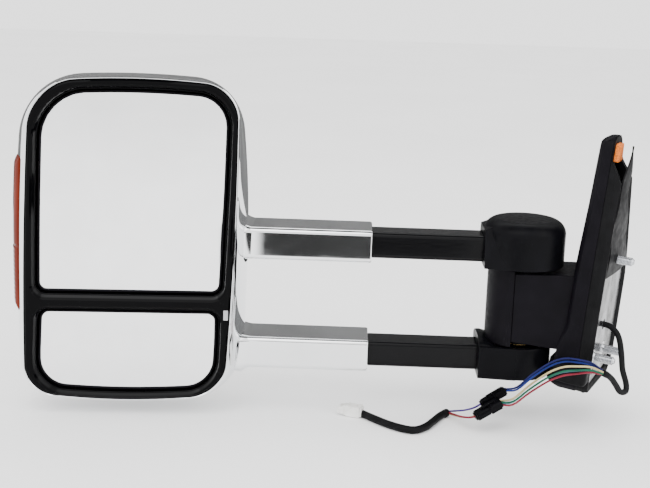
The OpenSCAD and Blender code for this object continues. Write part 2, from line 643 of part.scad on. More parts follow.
mount_casting();
base_cover();
arm_cover();
post_cover();
door_gasket();
gasket_flap();
foam_seal();
mount_studs();
cable_grommet();
cover_screws();
upper_pivot_bush();
lower_pivot_bush();
friction_washers();
pivot_shaft();
upper_knuckle();
upper_knuckle_cap();
lower_knuckle();
lower_knuckle_cap();
fold_spring();
spring_cup();
pivot_nut();
upper_tube();
lower_tube();
tube_end_guides();
tube_screws();
head_shell();
front_bezel();
upper_sleeve();
lower_sleeve();
sleeve_bushes();
inner_frame();
indicator_lens();
indicator_tray();
led_board();
actuator_case();
actuator_motors();
lower_swivel_post();
head_screws();
bezel_clip();
upper_gimbal();
upper_glass();
upper_glass_holder();
heater_pad();
pan_jack();
tilt_jack();
lower_gimbal();
lower_glass();
lower_glass_holder();
braided_cable();
motor_wires();
lamp_wires();
two_way_connector();
four_way_connector();
tail_wires();
tail_sheath();
plug();
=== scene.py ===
import json
import math

import bmesh
import bpy
from mathutils import Matrix, Vector

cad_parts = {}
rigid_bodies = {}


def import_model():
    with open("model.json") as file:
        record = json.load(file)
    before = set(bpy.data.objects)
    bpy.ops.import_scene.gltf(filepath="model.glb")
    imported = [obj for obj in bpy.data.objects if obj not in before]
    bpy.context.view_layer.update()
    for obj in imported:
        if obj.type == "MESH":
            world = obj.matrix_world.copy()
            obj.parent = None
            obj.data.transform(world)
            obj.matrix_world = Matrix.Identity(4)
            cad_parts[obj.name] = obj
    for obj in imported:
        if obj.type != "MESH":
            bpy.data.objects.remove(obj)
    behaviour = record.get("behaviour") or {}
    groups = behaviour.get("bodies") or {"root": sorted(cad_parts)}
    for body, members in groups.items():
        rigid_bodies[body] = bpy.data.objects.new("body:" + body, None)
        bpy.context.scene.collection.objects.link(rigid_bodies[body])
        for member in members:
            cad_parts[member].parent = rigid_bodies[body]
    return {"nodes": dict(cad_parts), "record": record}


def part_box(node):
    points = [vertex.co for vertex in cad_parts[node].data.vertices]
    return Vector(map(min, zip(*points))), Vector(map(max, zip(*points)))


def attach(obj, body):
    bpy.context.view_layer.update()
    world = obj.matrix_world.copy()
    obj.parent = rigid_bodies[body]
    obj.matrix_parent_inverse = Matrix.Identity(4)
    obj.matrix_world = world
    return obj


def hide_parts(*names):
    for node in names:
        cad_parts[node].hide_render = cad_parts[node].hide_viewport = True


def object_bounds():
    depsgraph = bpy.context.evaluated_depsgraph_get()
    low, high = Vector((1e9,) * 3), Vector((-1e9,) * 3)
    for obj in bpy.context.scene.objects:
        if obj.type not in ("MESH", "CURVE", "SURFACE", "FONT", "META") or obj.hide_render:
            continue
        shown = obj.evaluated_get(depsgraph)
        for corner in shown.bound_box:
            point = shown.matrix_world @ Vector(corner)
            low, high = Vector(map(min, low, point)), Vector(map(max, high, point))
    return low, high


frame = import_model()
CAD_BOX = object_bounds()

MM = 0.001
NODES = frame["nodes"]
RECORD = frame["record"]
JOINTS = {j["name"]: j for j in RECORD["behaviour"]["joints"]}
MOUNTS = {m["name"]: m for m in RECORD["mounts"]}


def mm(point):
    return Vector(point) / MM


# ---------- frames, worked out from the record and the CAD nodes ----------
FOLD = mm(JOINTS["arm_fold"]["pos_m"])
UPPER_SWING = mm(JOINTS["upper_pan"]["pos_m"])
LOWER_SWING = mm(JOINTS["lower_pan"]["pos_m"])
LEFTWARD = Vector(JOINTS["upper_tilt"]["axis"])
HEAD_TURN = math.atan2(LEFTWARD.y, LEFTWARD.x)
PANE_X = 0.5
SWING_Y = 18
HEAD = (Matrix.Translation((UPPER_SWING.x, UPPER_SWING.y, 0)) @ Matrix.Rotation(HEAD_TURN, 4, "Z")
        @ Matrix.Translation((-PANE_X, -SWING_Y, 0)))
DOOR_OUT = Vector(MOUNTS["door_face"]["axis"])
DOOR_ALONG = Vector((-DOOR_OUT.y, DOOR_OUT.x, 0)).normalized()
DOOR_UP = DOOR_OUT.cross(DOOR_ALONG)
BASE = Matrix((DOOR_OUT, DOOR_ALONG, DOOR_UP)).transposed().to_4x4()
LEVEL = Matrix.Identity(4)


def node_box(name):
    low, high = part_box(name)
    return low / MM, high / MM


TUBE_LO, TUBE_HI = node_box("upper_tube")
SLEEVE_LO, SLEEVE_HI = node_box("upper_sleeve")
ARM_Z = (TUBE_LO.z + TUBE_HI.z) / 2
POST_LO, POST_HI = node_box("post_cover")
CAP_LO, CAP_HI = node_box("upper_knuckle_cap")
LOW_CAP_LO, LOW_CAP_HI = node_box("lower_knuckle_cap")
ARM_COVER_LO, ARM_COVER_HI = node_box("arm_cover")
FLOOR_Z = CAD_BOX[0].z / MM


# ---------- camera ----------
def make_camera():
    aim = Vector((-264, 0, 48))
    azimuth, elevation, roll = (math.radians(d) for d in (1, 13, 1.8))
    distance = 1100
    back = Vector((math.sin(azimuth) * math.cos(elevation),
                   -math.cos(azimuth) * math.cos(elevation), math.sin(elevation)))
    right = Vector((math.cos(azimuth), math.sin(azimuth), 0))
    up = back.cross(right)
    right, up = (right * math.cos(roll) + up * math.sin(roll), up * math.cos(roll) - right * math.sin(roll))
    turn = Matrix((right, up, back)).transposed().to_4x4()
    data = bpy.data.cameras.new("camera")
    data.lens = 66.2
    data.sensor_width = 36
    camera = bpy.data.objects.new("camera", data)
    bpy.context.scene.collection.objects.link(camera)
    camera.matrix_world = Matrix.Translation((aim + back * distance) * MM) @ turn
    bpy.context.scene.camera = camera


make_camera()


# ---------- materials ----------
class Paint:
    """A Principled material with fine grain, worked up from object coordinates in metres."""

    def __init__(self, name, metallic=0.0, **values):
        self.material = bpy.data.materials.new(name)
        self.material.use_nodes = True
        self.tree = self.material.node_tree
        self.shader = self.tree.nodes["Principled BSDF"]
        self.shader.inputs["Metallic"].default_value = metallic
        for label, value in values.items():
            self.shader.inputs[label.replace("_", " ").title().replace("Ior", "IOR")].default_value = value
        self.place = self.add("ShaderNodeTexCoord").outputs["Object"]

    def add(self, kind, **settings):
        node = self.tree.nodes.new(kind)
        for key, value in settings.items():
            setattr(node, key, value)
        return node

    def link(self, source, target):
        self.tree.links.new(source, target)

    def stretched(self, scale):
        node = self.add("ShaderNodeMapping")
        node.inputs["Scale"].default_value = scale
        self.link(self.place, node.inputs["Vector"])
        return node.outputs["Vector"]

    def noise(self, scale, detail=4.0, stretch=(1, 1, 1)):
        node = self.add("ShaderNodeTexNoise")
        node.inputs["Scale"].default_value = scale
        node.inputs["Detail"].default_value = detail
        self.link(self.stretched(stretch), node.inputs["Vector"])
        return node.outputs["Fac"]

    def cells(self, scale, stretch=(1, 1, 1)):
        node = self.add("ShaderNodeTexVoronoi")
        node.inputs["Scale"].default_value = scale
        self.link(self.stretched(stretch), node.inputs["Vector"])
        return node.outputs["Distance"]

    def bands(self, scale, direction="X", distortion=0.0, stretch=(1, 1, 1)):
        node = self.add("ShaderNodeTexWave", bands_direction=direction)
        node.inputs["Scale"].default_value = scale
        node.inputs["Distortion"].default_value = distortion
        self.link(self.stretched(stretch), node.inputs["Vector"])
        return node.outputs["Fac"]

    def ramp(self, source, *stops):
        node = self.add("ShaderNodeValToRGB")
        ends = node.color_ramp.elements
        while len(ends) < len(stops):
            ends.new(0.5)
        for end, (place, colour) in zip(ends, stops):
            end.position = place
            end.color = (*colour, 1)
        self.link(source, node.inputs["Fac"])
        return node.outputs["Color"]

    def between(self, source, low, high):
        node = self.add("ShaderNodeMapRange")
        node.inputs["From Min"].default_value = 0.3
        node.inputs["From Max"].default_value = 0.7
        node.inputs["To Min"].default_value = low
        node.inputs["To Max"].default_value = high
        self.link(source, node.inputs["Value"])
        return node.outputs["Result"]

    def colour(self, source, dark, light, low=0.3, high=0.7):
        self.link(self.ramp(source, (low, dark), (high, light)), self.shader.inputs["Base Color"])
        return self

    def rough(self, source, low, high):
        self.link(self.between(source, low, high), self.shader.inputs["Roughness"])
        return self

    def bump(self, source, depth_mm, strength=1.0):
        node = self.add("ShaderNodeBump")
        node.inputs["Strength"].default_value = strength
        node.inputs["Distance"].default_value = depth_mm * MM
        self.link(source, node.inputs["Height"])
        earlier = self.shader.inputs["Normal"].links
        if earlier:
            self.link(earlier[0].from_socket, node.inputs["Normal"])
        self.link(node.outputs["Normal"], self.shader.inputs["Normal"])
        return self


def tint(colour, factor):
    return tuple(min(1.0, c * factor) for c in colour)


def moulded(name, colour, low=0.42, high=0.58, grain_mm=0.05):
    """Fine spark-grained moulded plastic."""
    paint = Paint(name, specular_ior_level=0.06)
    paint.colour(paint.noise(60, 3), tint(colour, 0.8), tint(colour, 1.25))
    paint.rough(paint.noise(240, 5), low, high)
    return paint.bump(paint.cells(1500), grain_mm, 0.35).material


def polished(name, colour, metallic, low, high, **values):
    """Polished surface with faint smears and polishing haze."""
    paint = Paint(name, metallic, **values)
    paint.colour(paint.noise(25, 3), tint(colour, 0.96), tint(colour, 1.02))
    paint.rough(paint.noise(55, 6, (1, 1, 2.5)), low, high)
    return paint.bump(paint.noise(18, 2), 0.02, 0.25).material


def brushed(name, colour, low, high, stretch=(1, 60, 60), metallic=1.0):
    """Metal with fine lines along the direction that stretch leaves alone."""
    paint = Paint(name, metallic, specular_ior_level=0.12)
    paint.colour(paint.noise(40, 4, stretch), tint(colour, 0.85), tint(colour, 1.1))
    paint.rough(paint.noise(60, 5, stretch), low, high)
    return paint.bump(paint.noise(90, 4, stretch), 0.01, 0.4).material


def painted_cast(name, colour):
    """Glossy paint on a casting, with soft vertical streaks in the door's plane."""
    paint = Paint(name, 0.85)
    paint.colour(paint.noise(45, 3, (1, 1, 0.16)), tint(colour, 0.3), tint(colour, 7.0), 0.5, 0.72)
    paint.rough(paint.noise(90, 4), 0.16, 0.34)
    return paint.bump(paint.noise(45, 3, (1, 1, 0.3)), 0.5, 0.35).material


def braided(name, colour):
    """Woven sleeving: two crossed sets of fine bands."""
    paint = Paint(name, specular_ior_level=0.12)
    first = paint.bands(420, "DIAGONAL", 0.4)
    second = paint.bands(420, "DIAGONAL", 0.4, (1, -1, 1))
    paint.colour(first, tint(colour, 0.6), tint(colour, 1.8), 0.2, 0.8)
    paint.rough(paint.noise(300), 0.6, 0.8)
    return paint.bump(first, 0.25, 0.5).bump(second, 0.25, 0.5).material


def foam(name, colour):
    paint = Paint(name, specular_ior_level=0.2)
    paint.colour(paint.cells(900), tint(colour, 1.1), tint(colour, 0.55), 0.1, 0.6)
    paint.rough(paint.noise(200), 0.85, 0.95)
    return paint.bump(paint.cells(900), 0.3, 0.7).material


def lens_plastic(name, colour):
    paint = Paint(name, specular_ior_level=0.05, ior=1.49)
    paint.colour(paint.noise(30, 3, (1, 1, 0.4)), tint(colour, 0.6), tint(colour, 1.25))
    paint.rough(paint.noise(120), 0.08, 0.18)
    return paint.bump(paint.noise(25, 2), 0.05, 0.3).material


def sheath_rubber(name, colour):
    paint = Paint(name, specular_ior_level=0.06)
    paint.colour(paint.noise(70, 4), tint(colour, 0.7), tint(colour, 1.4))
    paint.rough(paint.noise(160, 5), 0.4, 0.6)
    return paint.bump(paint.noise(220, 5), 0.08, 0.3).material


MATERIALS = {
    "chrome": polished("chrome", (0.86, 0.87, 0.88), 1.0, 0.02, 0.07),
    "shell_inside": moulded("shell_inside", (0.004, 0.004, 0.005)),
    "gloss_black": polished("gloss_black", (0.0012, 0.0012, 0.0015), 0.0, 0.03, 0.08,
                            specular_ior_level=0.05),
    "mirror_glass": polished("mirror_glass", (0.97, 0.975, 0.98), 1.0, 0.01, 0.03),
    "black_plastic": moulded("black_plastic", (0.0035, 0.003, 0.0045)),
    "cap_plastic": moulded("cap_plastic", (0.002, 0.002, 0.0028), 0.3, 0.45),
    "light_plastic": moulded("light_plastic", (0.5, 0.5, 0.51)),
    "white_nylon": moulded("white_nylon", (0.72, 0.7, 0.64)),
    "gasket_rubber": sheath_rubber("gasket_rubber", (0.005, 0.005, 0.0055)),
    "orange_foam": foam("orange_foam", (0.9, 0.22, 0.03)),
    "zinc_steel": brushed("zinc_steel", (0.5, 0.51, 0.53), 0.12, 0.24, (20, 20, 1)),
    "brass_bush": brushed("brass_bush", (0.72, 0.5, 0.2), 0.25, 0.4, (1, 1, 40)),
    "black_metal": brushed("black_metal", (0.002, 0.002, 0.0025), 0.16, 0.26, (1, 30, 30), 0.0),
    "cast_plate": painted_cast("cast_plate", (0.05, 0.05, 0.053)),
    "lens_red": lens_plastic("lens_red", (0.11, 0.011, 0.003)),
    "board_green": polished("board_green", (0.04, 0.22, 0.08), 0.0, 0.25, 0.4),
    "heater_foil": brushed("heater_foil", (0.5, 0.3, 0.16), 0.3, 0.5, (1, 1, 30), 0.6),
    "braid": braided("braid", (0.006, 0.006, 0.0065)),
    "white_plug": moulded("white_plug", (0.82, 0.81, 0.78), 0.25, 0.4, 0.02),
}
WIRE_COLOURS = {
    "navy": (0.012, 0.014, 0.07),
    "blue": (0.015, 0.025, 0.14),
    "cream": (0.4, 0.33, 0.17),
    "green": (0.01, 0.075, 0.045),
    "red": (0.2, 0.02, 0.035),
    "sky": (0.08, 0.16, 0.26),
    "violet": (0.06, 0.035, 0.17),
}
for tone, colour in WIRE_COLOURS.items():
    MATERIALS["wire_" + tone] = moulded("wire_" + tone, colour, 0.25, 0.4, 0.01)


def finish_nodes():
    """Gives each CAD node the material of its slot, with blue for every wire jacket."""
    for entry in RECORD["subparts"]:
        node = NODES[entry["node"]]
        key = {"wire_jackets": "wire_blue"}.get(entry["material_slot"], entry["material_slot"])
        node.data.materials.clear()
        node.data.materials.append(MATERIALS[key])


# ---------- mesh tools, in millimetres ----------
MADE = set()


def piece(name, verts, faces, body, slot, material, replaces=(), place=LEVEL, inner=None, smooth=35):
    """Makes a mesh piece that rides on a body. inner = (faces from this index on, their material)."""
    mesh = bpy.data.meshes.new(name)
    mesh.from_pydata([(place @ Vector(v)) * MM for v in verts], [], faces)
    mesh.materials.append(MATERIALS[material])
    if inner:
        mesh.materials.append(MATERIALS[inner[1]])
        for i in range(inner[0], len(mesh.polygons)):
            mesh.polygons[i].material_index = 1
    item = bpy.data.objects.new(name, mesh)
    bpy.context.scene.collection.objects.link(item)
    tidy_mesh(mesh)
    if smooth:
        soften(mesh, smooth)
    MADE.add(item.name)
    if body:
        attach(item, body)
        if replaces:
            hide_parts(*replaces)
    return item


def cutter(form, place=LEVEL):
    """Helper shape for a boolean, used up by it; its material never shows."""
    return piece("cutter", *form, None, None, "black_plastic", place=place, smooth=0)


def tidy_mesh(mesh):
    form = bmesh.new()
    form.from_mesh(mesh)
    bmesh.ops.remove_doubles(form, verts=form.verts, dist=1e-7)
    bmesh.ops.recalc_face_normals(form, faces=form.faces)
    form.to_mesh(mesh)
    form.free()


def soften(mesh, angle):
    mesh.shade_smooth()
    mesh.set_sharp_from_angle(angle=math.radians(angle))


def apply_modifiers(item):
    depsgraph = bpy.context.evaluated_depsgraph_get()
    mesh = bpy.data.meshes.new_from_object(item.evaluated_get(depsgraph))
    item.modifiers.clear()
    item.data = mesh
    return mesh


def even_normals():
    """Keeps flat faces reading flat next to their rounded edges."""
    for item in bpy.context.scene.objects:
        if item.type == "MESH" and item.name in MADE:
            step = item.modifiers.new("even", "WEIGHTED_NORMAL")
            step.keep_sharp = True


def combine(item, other, operation, angle=35):
    """Boolean of two pieces; the other one is used up."""
    step = item.modifiers.new("combine", "BOOLEAN")
    step.object = other
    step.operation = operation
    step.solver = "EXACT"
    bpy.context.view_layer.update()
    mesh = apply_modifiers(item)
    bpy.data.objects.remove(other)
    soften(mesh, angle)
    return item


def cut(item, form, place=LEVEL):
    return combine(item, cutter(form, place), "DIFFERENCE")


def bevelled(item, width, segments=3, limit=30, angle=35):
    step = item.modifiers.new("bevel", "BEVEL")
    step.width = width * MM
    step.segments = segments
    step.limit_method = "ANGLE"
    step.angle_limit = math.radians(limit)
    step.harden_normals = False
    bpy.context.view_layer.update()
    soften(apply_modifiers(item), angle)
    return item


def loft(rings, caps=True):
    """Skin over rings of equal length, closed at both ends."""
    count = len(rings[0])
    verts = [p for ring in rings for p in ring]
    faces = []
    for j in range(len(rings) - 1):
        for i in range(count):
            a, b = j * count + i, j * count + (i + 1) % count
            faces.append((a, b, b + count, a + count))
    if caps:
        faces.append(tuple(range(count - 1, -1, -1)))
        faces.append(tuple((len(rings) - 1) * count + i for i in range(count)))
    return verts, faces


def arc(centre, radius, start, steps):
    """Quarter circle from a start angle in degrees."""
    return [(centre[0] + radius * math.cos(math.radians(start + 90 * i / steps)),
             centre[1] + radius * math.sin(math.radians(start + 90 * i / steps))) for i in range(steps + 1)]


def soft_box(w, h, corners, steps=8, mids=1):
    """Rounded box outline, anticlockwise; corners = radii from the top right round to the bottom right."""
    tr, tl, bl, br = corners
    parts = [arc((w - tr, h - tr), tr, 0, steps), arc((tl - w, h - tl), tl, 90, steps),
             arc((bl - w, bl - h), bl, 180, steps), arc((w - br, br - h), br, 270, steps)]
    points = []
    for k in range(4):
        points += parts[k]
        a, b = parts[k][-1], parts[(k + 1) % 4][0]
        points += [(a[0] + (b[0] - a[0]) * i / mids, a[1] + (b[1] - a[1]) * i / mids) for i in range(1, mids)]
    return points


def bar(x0, x1, w, h, r, z, edge=0.6):
    """Rings of a bar along X with rounded long edges and softened ends."""
    def ring(x, inset):
        outline = soft_box(w / 2 - inset, h / 2 - inset, [max(0.3, r - inset)] * 4)
        return [(x, a, z + b) for a, b in outline]
    ends = [(0, edge), (edge * 0.3, edge * 0.3), (edge, 0)]
    rings = [ring(x0 + a, b) for a, b in ends]
    return rings + [ring(x1 - a, b) for a, b in reversed(ends)]


def hollow_bar(name, x0, x1, w, h, r, z, wall, body, slot, material, replaces, edge=0.6):
    """Tube of rounded box section, open at both ends, dark inside."""
    outer = bar(x0, x1, w, h, r, z, edge)
    inner = bar(x0, x1, w - 2 * wall, h - 2 * wall, max(1, r - wall), z, 0.01)
    verts, faces = loft(outer + inner[::-1] + outer[:1], caps=False)
    dark_from = len(outer) * len(outer[0])
    return piece(name, verts, faces, body, slot, material, replaces, inner=(dark_from, "shell_inside"))


def prism(points, low, high, axis):
    """Straight prism of a 2-D outline; axis says along which way it runs."""
    def at(p, d):
        return {"x": (d, p[0], p[1]), "y": (p[0], d, p[1]), "z": (p[0], p[1], d)}[axis]
    return loft([[at(p, low) for p in points], [at(p, high) for p in points]])


def disc_stack(profile, centre, axis="z", steps=64):
    """Turned part: profile = (radius, distance along the axis) pairs, both ends closed."""
    rings = []
    for radius, along in profile:
        ring = []
        for i in range(steps):
            a, b = radius * math.cos(math.tau * i / steps), radius * math.sin(math.tau * i / steps)
            offset = {"z": (a, b, along), "x": (along, a, b), "y": (a, along, b)}[axis]
            ring.append(tuple(centre[k] + offset[k] for k in range(3)))
        rings.append(ring)
    return loft(rings)


def hull(points):
    form = bmesh.new()
    for p in points:
        form.verts.new(p)
    result = bmesh.ops.convex_hull(form, input=form.verts)
    bmesh.ops.delete(form, geom=list(set(result["geom_interior"] + result["geom_unused"])), context="VERTS")
    form.verts.index_update()
    verts = [tuple(v.co) for v in form.verts]
    faces = [tuple(v.index for v in f.verts) for f in form.faces]
    form.free()
    return verts, faces


def box_mesh(low, high):
    return hull([(x, y, z) for x in (low[0], high[0]) for y in (low[1], high[1]) for z in (low[2], high[2])])


def grid_skin(rows, columns, split_alike=False):
    """Faces of a closed sheet: a grid of front points, as many back points, and the edge between.
    split_alike starts each back face at its front face's point, so both split along one diagonal."""
    width = columns + 1
    count = (rows + 1) * width
    front = []
    for j in range(rows):
        for i in range(columns):
            a = j * width + i
            front.append((a, a + width, a + width + 1, a + 1))
    back = []
    for face in front:
        turned = (face[0], *face[:0:-1]) if split_alike else face[::-1]
        back.append(tuple(count + k for k in turned))
    edge = list(range(width)) + [j * width + columns for j in range(1, rows + 1)]
    edge += [rows * width + i for i in range(columns - 1, -1, -1)]
    edge += [j * width for j in range(rows - 1, 0, -1)]
    return front + back + [(a, b, count + b, count + a) for a, b in zip(edge, edge[1:] + edge[:1])]


def joined(parts):
    """Several closed forms as one list of points and one of faces."""
    verts, faces = [], []
    for v, f in parts:
        faces += [tuple(i + len(verts) for i in face) for face in f]
        verts += v
    return verts, faces


# ---------- harness: the routes repeat part.scad's points ----------
CABLE_D, WIRE_D, SHEATH_D = 5.5, 1.8, 7.0
CABLE_ROUTE = [(-16, -2, -16), (-4, -7, -17), (1, -10, -18), (6, -14, -22), (9, -18, -29), (11, -22, -42),
               (12, -26, -54), (15, -31, -65), (14, -36, -71), (8, -41, -70), (3, -45, -63), (-2, -49, -56),
               (-7, -53, -51), (-13, -57, -47)]
WIRE_ROUTE = [(-13, -57, -47), (-24, -62, -41), (-36, -63, -40), (-48, -62, -41), (-60, -60, -47),
              (-74, -55, -60), (-86, -49, -74), (-96, -42, -78)]
TAIL_ROUTE = [(-126, -56, -91), (-130, -50, -95), (-135, -40, -99), (-140, -29, -102), (-145, -20, -104)]
SHEATH_ROUTE = [(-145, -20, -104), (-152, -28, -104.5), (-160, -44, -104.5), (-168, -58, -104.5),
                (-178, -66, -104.5), (-190, -62, -104.5), (-202, -53, -104.5), (-213, -42, -104.5),
                (-224, -30, -104.5)]


def smooth_route(points, steps=4):
    """Points on one smooth curve through the chosen ones."""
    p = [Vector(q) for q in points]
    p = [2 * p[0] - p[1]] + p + [2 * p[-1] - p[-2]]
    route = []
    for i in range(1, len(p) - 2):
        for j in range(steps):
            t = j / steps
            a, b, c, d = p[i - 1], p[i], p[i + 1], p[i + 2]
            route.append(0.5 * (2 * b + (c - a) * t + (2 * a - 5 * b + 4 * c - d) * t * t
                                + (3 * b - 3 * c + d - a) * t ** 3))
    return route + [p[-2]]


def cord(name, points, diameter, material, replaces):
    route = smooth_route(points)
    data = bpy.data.curves.new(name, "CURVE")
    data.dimensions = "3D"
    data.bevel_depth = diameter / 2 * MM
    data.bevel_resolution = 5
    data.use_fill_caps = True
    line = data.splines.new("POLY")
    line.points.add(len(route) - 1)
    for target, p in zip(line.points, route):
        target.co = (*(p * MM), 1)
    line.use_smooth = True
    data.materials.append(MATERIALS[material])
    item = bpy.data.objects.new(name, data)
    bpy.context.scene.collection.objects.link(item)
    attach(item, "base")
    if replaces:
        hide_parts(*replaces)
    return item


def collar(name, end, before, radius, length):
    """Short heat-shrink collar round the end of a cord."""
    way = (Vector(end) - Vector(before)).normalized()
    side = way.cross(Vector((0, 0, 1))).normalized()
    up = side.cross(way)
    profile = [(radius * 0.8, -length), (radius, -length + 0.8), (radius, -1), (radius * 0.85, 0),
               (radius * 0.55, 0.4)]
    rings = [[tuple(Vector(end) + way * s + (side * math.cos(a) + up * math.sin(a)) * r)
              for a in (math.tau * i / 24 for i in range(24))] for r, s in profile]
    return piece(name, *loft(rings), "base", "gasket_rubber", "gasket_rubber")


def connector_frame(corner, tilt, turn):
    return (Matrix.Translation(corner) @ Matrix.Rotation(math.radians(turn), 4, "Z")
            @ Matrix.Rotation(math.radians(tilt), 4, "Y"))


def housing(name, place, length, half_w, half_h, ways, replaces):
    """Moulded two-part connector: stepped ends, latch with its window, side rails and wire seals."""
    def block(x0, x1, w, h, z=0.0, y=0.0):
        return box_mesh((x0, y - w, z - h), (x1, y + w, z + h))
    split = -0.45 * length
    parts = [block(split, -1.2, half_w, half_h),
             block(-length + 1.5, split - 0.7, half_w * 0.9, half_h * 0.88),
             block(split - 0.7, split, half_w * 0.8, half_h * 0.75),
             block(-1.2, 0, half_w * 0.86, half_h * 0.8),
             block(-length, -length + 1.5, half_w * 0.7, half_h * 0.7),
             block(-0.7 * length, -0.12 * length, half_w * 0.34, 0.5, half_h + 0.9),
             block(-0.7 * length, -0.62 * length, half_w * 0.34, 0.9, half_h + 0.4),
             block(-0.2 * length, -0.12 * length, half_w * 0.5, 0.7, half_h + 0.2)]
    for side in (-1, 1):
        parts.append(block(-0.9 * length, -0.1 * length, 0.35, half_h * 0.25, 0, side * half_w * 0.98))
        parts.append(block(-0.44 * length, -0.38 * length, 0.4, half_h * 0.9, 0, side * half_w))
    for i in range(ways):
        y = (i - (ways - 1) / 2) * half_w * 1.5 / ways
        parts.append(disc_stack([(1.15, -0.5), (1.3, 0), (1.3, 1.2), (1.05, 1.6)], (0, y, 0), "x", 16))
    item = piece(name, *joined(parts), "base", "black_plastic", "cap_plastic", replaces, place)
    return bevelled(item, 0.35, 2)


def make_harness():
    two_way = housing("connector_two_way", connector_frame((-95.5, -39.7, -73), -30, 12), 26, 4, 3.4, 2,
                      ["two_way_connector"])
    four_way = housing("connector_four_way", connector_frame((-100.5, -49.7, -81.2), -26, 18), 27, 5, 4, 2,
                       ["four_way_connector"])
    plug = make_plug()
    wrap = collar("cable_end_wrap", CABLE_ROUTE[-1], CABLE_ROUTE[-2], 3.1, 7)
    sheath_wrap = collar("sheath_start_wrap", SHEATH_ROUTE[0], SHEATH_ROUTE[1], 3.8, 6)
    cord("braided_lead", CABLE_ROUTE, CABLE_D, "braid", ["braided_cable"])
    wires = [("navy", (0, 0.3, 1.6), (0, 1, 3.4), (0, 3.4, 5.4), two_way, ["motor_wires"]),
             ("blue", (0, 1.4, 0.2), (0, 2.4, 1.2), (0, 1.2, 4.6), two_way, []),
             ("cream", (0, -1.3, 0.7), (0, -1, 1.4), (-5, -7, -2), four_way, ["lamp_wires"]),
             ("green", (0, -1.4, -0.9), (0, -1.2, -1.2), (-5, -9.6, -2.6), four_way, []),
             ("red", (0, 0, -1.9), (0, -0.4, -4.2), (-5, -8.4, -5.2), four_way, []),
             ("sky", (0, 1.4, -1.4), (0, 1.4, -2.6), (-5, -5.8, -4.6), four_way, [])]
    for tone, first, middle, last, target, stands_for in wires:
        points = []
        for i, p in enumerate(WIRE_ROUTE):
            u = i / (len(WIRE_ROUTE) - 1)
            points.append(Vector(p) + Vector(first) * (1 - u) + Vector(last) * u
                          + Vector(middle) * math.sin(math.pi * u))
        cord("wire_" + tone, points, WIRE_D, "wire_" + tone, stands_for)
    tails = [("violet", (8.4, 11.6, 5.3), (0, 0.6, 0.8), ["tail_wires"]),
             ("red", (2.6, -2.6, -1.4), (0, -0.8, 0.6), []), ("cream", (2.6, 0.6, -2), (0, 0, -1), [])]
    for tone, first, last, stands_for in tails:
        points = [Vector(p) + Vector(first) * (1 - i / 4) + Vector(last) * i / 4
                  for i, p in enumerate(TAIL_ROUTE)]
        cord("tail_" + tone, points, WIRE_D, "wire_" + tone, stands_for)
    cord("soft_sheath", SHEATH_ROUTE, SHEATH_D, "gasket_rubber", ["tail_sheath"])


def make_plug():
    """White two-prong plug: body with ribs, two hollow prongs and a wire boot."""
    place = connector_frame((-224, -30, -102.6), 0, -20)
    parts = [box_mesh((-15, -5.5, -5), (-1.5, 5.5, 5)), box_mesh((-18, -4.9, -4.4), (-15, 4.9, 4.4)),
             box_mesh((-1.5, -4.4, -4), (0, 4.4, 4)), box_mesh((-13, -2.2, 5), (-5, 2.2, 6))]
    for y in (-5.5, 2.5):
        parts.append(box_mesh((-23, y, -3), (-18, y + 3, 3)))
        parts.append(box_mesh((-20, y - 0.3, -3.3), (-17, y + 3.3, 3.3)))
    for x in (-12.5, -9.5, -6.5, -3.5):
        parts.append(box_mesh((x, -5.9, -3.4), (x + 1.2, 5.9, 3.4)))
    item = piece("plug_body", *joined(parts), "base", "white_plug", "white_plug", ["plug"], place)
    return bevelled(item, 0.4, 2)


make_harness()

# ---------- head ----------
RIM_HW, RIM_HH, RIM_MID = 93.5, 146.5, 53.0
HEAD_DEPTH = 104
SHELL_WALL, LIP = 2.6, 1.5
FRAME_W = 13.5
RIM_CORNERS = (30, 40, 26, 30)


def bow(p, w, h):
    return (p[0] * (1 - 0.03 * (p[1] / h) ** 2) + 0.035 * p[1], p[1] * (1 - 0.04 * (p[0] / w) ** 2) + RIM_MID)


def rim_line(w, h, corner_scale=1.0):
    corners = [r * corner_scale for r in RIM_CORNERS]
    biggest = max(corners)
    limit = min(1.0, 0.98 * min(w, h) / biggest)
    return [bow(p, w, h) for p in soft_box(w, h, [r * limit for r in corners], 16, 14)]


def upright(x, swell, rise):
    """Behind the rim the cup stands more upright and narrows towards its top."""
    return x - swell * (0.03 * rise + 7 * (x / RIM_HW) * (max(0, rise) / RIM_HH) ** 2)


def shell_ring(u, inset, y):
    fall = math.sqrt(max(0.0, 1 - u ** 3.5))
    swell = math.sin(math.pi * u ** 0.75)
    w = max(0.5, RIM_HW * fall + 12 * swell - inset)
    h = max(0.8, RIM_HH * fall + 2 * swell - inset)
    ring = []
    for x, z in rim_line(w, h, 1 + 0.5 * min(1, 3 * u)):
        ring.append((upright(x, swell, z - RIM_MID), y, z))
    return ring


def sleeve_cutter(z, gap, peak):
    """Opening for a sleeve, with a peaked top edge where peak is above zero."""
    half_w, half_h = (SLEEVE_HI.y - SLEEVE_LO.y) / 2, (SLEEVE_HI.z - SLEEVE_LO.z) / 2
    outline = soft_box(half_w + gap, half_h + gap, [6 + gap] * 4)
    outline = [(y, z + h + (peak * max(0, 1 - abs(y + 9) / 9) if h > 0 else 0)) for y, h in outline]
    return cutter(prism(outline, SLEEVE_LO.x - 30, SLEEVE_LO.x + 60, "x"))


